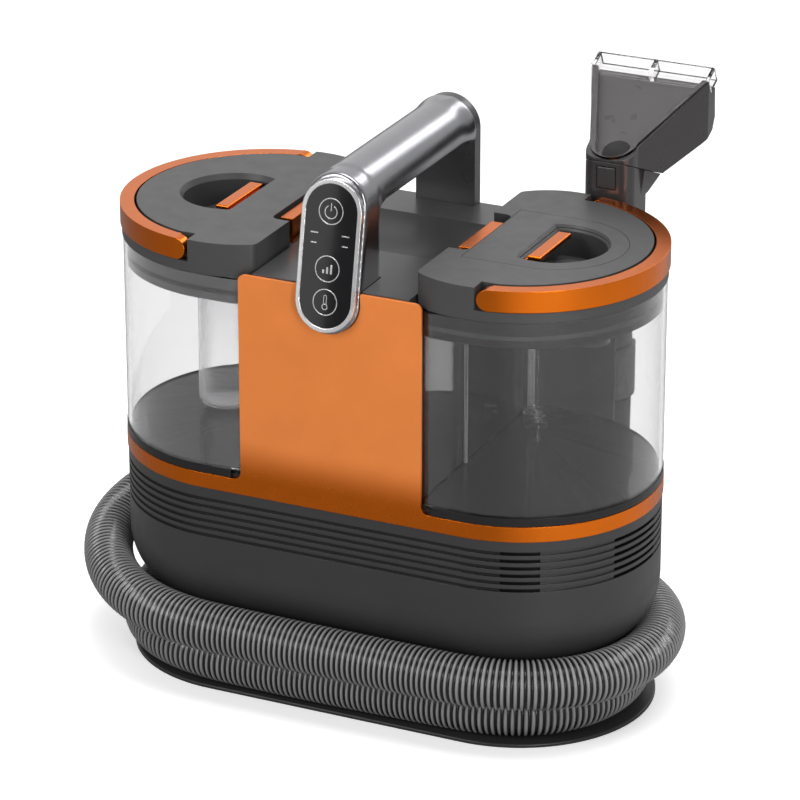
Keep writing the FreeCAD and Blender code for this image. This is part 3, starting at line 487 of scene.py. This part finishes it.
def add(tree, kind, inputs=None, **settings):
    """A new shader node with its settings, and its inputs set or linked."""
    node = tree.nodes.new("ShaderNode" + kind)
    for key, value in settings.items():
        setattr(node, key, value)
    for socket, value in (inputs or {}).items():
        if isinstance(value, bpy.types.NodeSocket):
            tree.links.new(value, node.inputs[socket])
        else:
            node.inputs[socket].default_value = value
    return node


def new_material(name, constants):
    """A principled material with these constants on its own sockets."""
    made = bpy.data.materials.new(name)
    made.use_nodes = True
    shader = made.node_tree.nodes["Principled BSDF"]
    for socket, value in constants.items():
        shader.inputs[socket].default_value = value
    return made, made.node_tree, shader


def noise(tree, scale, detail=2.0, stretch=(1, 1, 1)):
    """Noise through the object's own space, scale cycles to the metre."""
    place = add(tree, "TexCoord").outputs["Object"]
    place = add(tree, "Mapping", {"Vector": place, "Scale": stretch}).outputs["Vector"]
    return add(tree, "TexNoise", {"Vector": place, "Scale": scale, "Detail": detail}).outputs["Fac"]


def spread(tree, value, low, high):
    """A noise value, mostly between 0.25 and 0.75, moved to the range from low to high."""
    return ranged(tree, value, 0.25, 0.75, low, high)


def ranged(tree, value, low, high, first=0.0, last=1.0, **settings):
    """A value that goes from first at low to last at high, and stays there beyond them."""
    return add(tree, "MapRange", {"Value": value, "From Min": low, "From Max": high,
                                  "To Min": first, "To Max": last}, **settings).outputs["Result"]


def position(tree, axis):
    """The place on the object along one axis, in metres."""
    return add(tree, "SeparateXYZ", {0: add(tree, "TexCoord").outputs["Object"]}).outputs[axis]


def recolour(material, factor, colour):
    """Blend the material's own colour into another one by the factor."""
    tree = material.node_tree
    socket = tree.nodes["Principled BSDF"].inputs["Base Color"]
    own = socket.links[0].from_socket
    tree.links.new(blend_colours(tree, factor, own, colour), socket)


def blend_colours(tree, factor, first, second):
    mixed = add(tree, "Mix", data_type="RGBA")
    for socket, value in ((0, factor), (6, first), (7, second)):
        if isinstance(value, bpy.types.NodeSocket):
            tree.links.new(value, mixed.inputs[socket])
        else:
            mixed.inputs[socket].default_value = value
    return mixed.outputs[2]


def shade(colour, factor):
    return tuple(min(1.0, part * factor) for part in colour[:3]) + (1,)


def surface(name, colour, roughness, grain=1500, bump=0.05, edge=0.0005, wear=1.2,
            uneven=0.05, stretch=(1, 1, 1), **constants):
    """Moulded, painted or metal surface: fine grain, uneven gloss, softened and lighter edges."""
    words = {key.replace("_", " "): value for key, value in constants.items()}
    made, tree, shader = new_material(name, words)
    cloudy = noise(tree, 38, 3)
    rounded = add(tree, "Bevel", {"Radius": edge}, samples=4).outputs["Normal"]
    flat = add(tree, "NewGeometry").outputs["Normal"]
    facing = add(tree, "VectorMath", {0: rounded, 1: flat},
                 operation="DOT_PRODUCT").outputs["Value"]
    at_edge = ranged(tree, facing, 0.995, 0.80)
    worn = add(tree, "Math", {0: at_edge, 1: noise(tree, 260, 4)}, operation="MULTIPLY").outputs[0]
    body = blend_colours(tree, spread(tree, cloudy, 0, 1), shade(colour, 0.95), shade(colour, 1.05))
    tree.links.new(blend_colours(tree, worn, body, shade(colour, wear)),
                   shader.inputs["Base Color"])
    tree.links.new(spread(tree, noise(tree, 90, 4), roughness - uneven, roughness + uneven),
                   shader.inputs["Roughness"])
    fine = add(tree, "Bump", {"Height": noise(tree, grain, 2, stretch), "Strength": bump,
                              "Distance": 0.0002, "Normal": rounded}).outputs["Normal"]
    tree.links.new(fine, shader.inputs["Normal"])
    return made


def clear_plastic(name, tint, roughness, index=1.46):
    """Clear moulding that bends light, and lets light pass to what stands behind it."""
    made, tree, shader = new_material(name, {
        "Base Color": tint, "Transmission Weight": 1.0, "IOR": index})
    tree.links.new(spread(tree, noise(tree, 60, 3), roughness * 0.6, roughness * 1.6),
                   shader.inputs["Roughness"])
    passing = add(tree, "BsdfTransparent", {"Color": shade(tint, 0.93)}).outputs["BSDF"]
    shadow = add(tree, "LightPath").outputs["Is Shadow Ray"]
    mixed = add(tree, "MixShader", {"Fac": shadow, 1: shader.outputs["BSDF"], 2: passing})
    tree.links.new(mixed.outputs["Shader"], tree.nodes["Material Output"].inputs["Surface"])
    return made


ORANGE_METAL = (0.68, 0.150, 0.010)
CORE_FRONT = (0.050, 0.048, 0.048)
# painted shade at the core's back, and the range in Y over which it fades in
CORE_BACK_SHADE = (0.005, 0.004, 0.004, 1)
CORE_SHADE_FADE = (-0.075, 0.045)
# colour of the painted shade in the hose's grooves, and the groove depths over which it fades in
GROOVE_SHADE = (0.012, 0.012, 0.012, 1)
GROOVE_SHADE_FADE = (0.12, 0.70)
SATIN_METALLIC = 0.15


def clear_painted_glint(name):
    """A thin clear wall: nearly unseen face on; painted highlight: white along its edges and in
    faint upright streaks, standing in for the light the wall reflects.
    """
    made, tree, shader = new_material(name, {
        "Base Color": (0.85, 0.85, 0.86, 1), "Roughness": 0.08, "Specular IOR Level": 0.5})
    side_on = add(tree, "LayerWeight", {"Blend": 0.42}).outputs["Facing"]
    alpha = ranged(tree, side_on, 0.15, 1.0, 0.03, 0.65)
    # faint upright streaks of painted highlight
    painted_streak = spread(tree, noise(tree, 70, 2, (1, 1, 0.05)), -0.03, 0.06)
    tree.links.new(add(tree, "Math", {0: alpha, 1: painted_streak}, operation="ADD").outputs[0],
                   shader.inputs["Alpha"])
    return made


def make_materials():
    """One material for each of the record's slots."""
    return {
        "dark_body": surface("dark_body", (0.030, 0.029, 0.029), 0.40),
        "lid_grey": surface("lid_grey", (0.050, 0.050, 0.051), 0.42),
        "deck": surface("deck", (0.044, 0.044, 0.045), 0.31, bump=0.008, uneven=0.03),
        "tank_floor": surface("tank_floor", (0.016, 0.015, 0.015), 0.24, bump=0.005, uneven=0.02,
                              Specular_IOR_Level=0.22),
        # near-black painted shade for the dirty lid's plug
        "plug": surface("lid_plug_shade", (0.007, 0.006, 0.006), 0.38, bump=0.01,
                        Specular_IOR_Level=0.15),
        "dock": surface("dock_grey", (0.050, 0.047, 0.048), 0.34, bump=0.01),
        "core": surface("core_side", CORE_FRONT, 0.35, bump=0.01, Specular_IOR_Level=0.2),
        "orange": surface("orange_lacquer", (0.79, 0.228, 0.045), 0.42, grain=2400, bump=0.02,
                          wear=1.1, Metallic=SATIN_METALLIC),
        "orange_metal": surface("orange_metal", ORANGE_METAL, 0.25, grain=2400, bump=0.003,
                                wear=1.1, edge=0.0007, uneven=0.015, Metallic=1.0),
        "silver": surface("satin_silver", (0.31, 0.31, 0.325), 0.23, grain=2600, bump=0.006,
                          edge=0.0003, wear=1.1, uneven=0.02, Metallic=1.0),
        "bezel": surface("bright_bezel", (0.92, 0.92, 0.93), 0.14, grain=2200, bump=0.02,
                         edge=0.0008, wear=1.05, Metallic=0.9),
        "black_glass": surface("black_glass", (0.003, 0.003, 0.004), 0.05, grain=600, bump=0.004,
                               edge=0.0002, uneven=0.02, Coat_Weight=0.6),
        "post_grey": surface("post_grey", (0.036, 0.036, 0.038), 0.30),
        "clear_cover": clear_plastic("clear_cover", (0.90, 0.895, 0.90, 1), 0.02, 1.28),
        "clear_painted_glint": clear_painted_glint("clear_painted_glint"),
        "clear": clear_plastic("clear_plastic", (0.82, 0.815, 0.82, 1), 0.02, 1.40),
        "rubber": surface("soft_rubber", (0.014, 0.014, 0.014), 0.62, grain=1100, bump=0.2),
        "tool_dark": surface("tool_dark", (0.032, 0.029, 0.030), 0.30, edge=0.0007, bump=0.03,
                             wear=1.15),
        "hose_grey": surface("hose_grey", (0.250, 0.250, 0.250), 0.20, bump=0.05, edge=0.0002),
        "steel": surface("zinc_steel", (0.50, 0.50, 0.51), 0.28, grain=1800, Metallic=1.0),
        "inner_black": surface("inner_black", (0.012, 0.011, 0.011), 0.36, Specular_IOR_Level=0.3),
        "motor_metal": surface("motor_metal", (0.30, 0.30, 0.32), 0.4, Metallic=0.6),
        "board_green": surface("board_green", (0.02, 0.12, 0.05), 0.4),
        "float_white": surface("float_foam", (0.72, 0.72, 0.70), 0.75, grain=800, bump=0.4),
    }


# nodes whose finish isn't their slot's plain one
OWN_FINISH = {"tool_clear_cover": "clear_cover", "tool_dock": "dock", "core_column": "core",
              "top_deck": "deck", "clean_tank_base": "tank_floor", "dirty_tank_base": "tank_floor"}
OWN_FINISH.update({f"{word}_{part}": "orange_metal" for word in ("clean", "dirty")
                   for part in ("bail", "lever", "latch")})
LID_RIM_LOW = 0.2825
GROOVES_LOW = 0.1067
GROOVE_PITCH = 0.0049
GROOVES_HIGH = GROOVES_LOW + 6 * GROOVE_PITCH
GROOVE_DEPTH = 0.0004
BODY_END = 0.088
# angles from the body's +X end centre where the grooves are left without painted shade
UNSHADED_GROOVES = (-58, -25)
BAND_TOP = 0.1503
BAND_FADE = 0.03
BAND_GLOSS = 0.16


def paint_groove_shade(materials):
    """Painted shade: the housing's grooves get a black material inside, but for the stretch between
    its two vents, which is left unshaded.
    """
    node = frame["nodes"]["lower_housing"]
    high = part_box("lower_housing")[1]
    # the black material put on the groove faces is painted shade
    node.data.materials.append(materials["inner_black"])
    for face in node.data.polygons:
        place = face.center
        if not GROOVES_LOW < place.z < GROOVES_HIGH:
            continue
        ahead = abs(place.x) - BODY_END
        out = math.hypot(ahead, place.y) if ahead > 0 else abs(place.y)
        angle = math.degrees(math.atan2(place.y, place.x - BODY_END))
        pale = place.x > BODY_END and UNSHADED_GROOVES[0] < angle < UNSHADED_GROOVES[1]
        if out < high.y - GROOVE_DEPTH and not pale:
            face.material_index = 1


def paint_hose_groove_shade(material):
    """Painted shade: the hose's grooves are darkened between pale rings, where shade falls."""
    tree = material.node_tree
    depth = add(tree, "Attribute", attribute_name="groove").outputs["Fac"]
    part = ranged(tree, depth, *GROOVE_SHADE_FADE, interpolation_type="SMOOTHSTEP")
    # blend the painted shade into the hose's colour in its grooves
    recolour(material, part, GROOVE_SHADE)


def paint_plug_shade(materials):
    """Painted shade: the dirty lid's plug, seen through the tank's wall, gets a near-black material
    below the lid's rim, darker than the lid.
    """
    node = frame["nodes"]["dirty_lid"]
    # the plug's faces below the lid's rim get the painted shade
    node.data.materials.append(materials["plug"])
    for face in node.data.polygons:
        if face.center.z < LID_RIM_LOW:
            face.material_index = 1


def make_band_metallic(material):
    """The front panel is satin and turns into polished metal lacquer on the band below it."""
    tree = material.node_tree
    shader = tree.nodes["Principled BSDF"]
    part = ranged(tree, position(tree, "Z"), BAND_TOP, BAND_TOP + BAND_FADE, 1.0, 0.0,
                  interpolation_type="SMOOTHSTEP")
    recolour(material, part, (*ORANGE_METAL, 1))
    tree.links.new(ranged(tree, part, 0.0, 1.0, SATIN_METALLIC, 1.0), shader.inputs["Metallic"])
    matt = shader.inputs["Roughness"].links[0].from_socket
    gloss = ranged(tree, part, 0.0, 1.0, 0.0, -BAND_GLOSS)
    tree.links.new(add(tree, "Math", {0: matt, 1: gloss}, operation="ADD").outputs[0],
                   shader.inputs["Roughness"])


def paint_core_back_shade(material):
    """Painted shade: the core's moulding is darkened towards its back."""
    tree = material.node_tree
    recolour(material, ranged(tree, position(tree, "Y"), *CORE_SHADE_FADE), CORE_BACK_SHADE)


def dress(materials):
    """Each CAD node gets its own finish or its slot's."""
    for row in frame["record"]["subparts"]:
        slots = frame["nodes"][row["node"]].data.materials
        slots.clear()
        finish = OWN_FINISH.get(row["node"], row["material_slot"])
        slots.append(materials[finish])


# ---------------------------------------------------------------- light and floor

FLOOR_GLOW = 0.38
FLOOR_HALF = 14
FLOOR_GAP = 0.0002
# the mirrored floor gets paler from the first to the second X, from the third to the fourth value
MIRRORED = (0.14, 0.42, 0.30, 0.66)
WORLD_FRONT = 0.16
WORLD_BACK = 0.95
BACK_WAY = (-0.40, 0.86, 0.32)


def area_light(name, place, target, width, depth, power, roll=0.0):
    """A soft box that the camera doesn't see; roll in degrees turns it about its own line."""
    data = bpy.data.lights.new(name, "AREA")
    data.shape = "RECTANGLE"
    data.size = width
    data.size_y = depth
    data.energy = power
    light = link(name, data)
    light.location = place
    way = Vector(target) - Vector(place)
    turn = way.to_track_quat("-Z", "Y").to_matrix() @ Matrix.Rotation(math.radians(roll), 3, "Z")
    light.rotation_euler = turn.to_euler()
    light.visible_camera = False


def make_floor():
    """A white floor whose mirror image in the machine is darker, and paler towards +X."""
    mesh = bpy.data.meshes.new("floor")
    shape = bmesh.new()
    bmesh.ops.create_grid(shape, x_segments=1, y_segments=1, size=FLOOR_HALF)
    shape.to_mesh(mesh)
    shape.free()
    floor = link("floor", mesh)
    floor.location.z = -FLOOR_GAP
    made, tree, shader = new_material("pale_floor", {
        "Roughness": 0.7, "Specular IOR Level": 0.2, "Emission Color": (1, 1, 1, 1),
        "Emission Strength": FLOOR_GLOW})
    tone = blend_colours(tree, noise(tree, 3), (0.90, 0.90, 0.90, 1), (0.92, 0.92, 0.92, 1))
    tree.links.new(tone, shader.inputs["Base Color"])
    tint = ranged(tree, position(tree, "X"), *MIRRORED)
    dim = add(tree, "BsdfDiffuse", {"Color": tint}).outputs["BSDF"]
    bounced = add(tree, "LightPath").outputs["Is Reflection Ray"]
    mixed = add(tree, "MixShader", {"Fac": bounced, 1: shader.outputs["BSDF"], 2: dim})
    tree.links.new(mixed.outputs["Shader"], tree.nodes["Material Output"].inputs["Surface"])
    mesh.materials.append(made)


def make_world():
    """A studio that is bright behind the machine and darker in front of it."""
    world = bpy.data.worlds.new("studio")
    world.use_nodes = True
    tree = world.node_tree
    way = add(tree, "TexCoord").outputs["Generated"]
    back = add(tree, "VectorMath", {0: way, 1: BACK_WAY}, operation="DOT_PRODUCT").outputs["Value"]
    strength = ranged(tree, back, -0.2, 0.9, WORLD_FRONT, WORLD_BACK)
    ground = tree.nodes["Background"]
    ground.inputs["Color"].default_value = (1, 1, 1, 1)
    tree.links.new(strength, ground.inputs["Strength"])
    scene.world = world


def make_light():
    make_world()
    area_light("top_box", (0.15, 0.0, 1.6), (0, 0, 0.2), 0.8, 1.2, 14)
    area_light("back_strip", (0.48, 1.75, 1.38), (0, 0, 0.35), 0.45, 0.9, 4.6)
    area_light("front_box", (-0.9, -1.9, 1.3), (0, 0, 0.2), 1.0, 0.9, 20)
    area_light("right_box", (1.35, -1.35, 0.75), (0, 0, 0.2), 0.5, 1.1, 18)
    area_light("glass_card", (-0.7946, -1.485, 0.265), (0, -0.09, 0.305), 0.3, 1.0, 0.65, 2.0)


def main():
    scene.view_settings.view_transform = "Standard"
    make_camera()
    hose = make_hose()
    materials = make_materials()
    dress(materials)
    hose.data.materials.append(materials["hose_grey"])
    handle = make_handle()
    handle.data.materials.clear()
    handle.data.materials.append(materials["silver"])
    make_icons().data.materials.append(materials["bezel"])
    for word, x in (("clean", -WELL_X), ("dirty", WELL_X)):
        boss = make_well_boss(f"{word}_well_boss", x, f"{word}_lid")
        boss.data.materials.append(materials["lid_grey"])
        make_valve_spring(word).data.materials.append(materials["steel"])
    make_column().data.materials.append(materials["clear_painted_glint"])
    for index, glint_rod in enumerate(GLINT_RODS):
        made = make_glint_rod(f"dirty_tank_rib_{index + 1}", *glint_rod)
        made.data.materials.append(materials["clear_painted_glint"])
    paint_groove_shade(materials)
    paint_plug_shade(materials)
    paint_hose_groove_shade(materials["hose_grey"])
    paint_core_back_shade(materials["core"])
    make_band_metallic(materials["orange"])
    make_floor()
    make_light()


main()
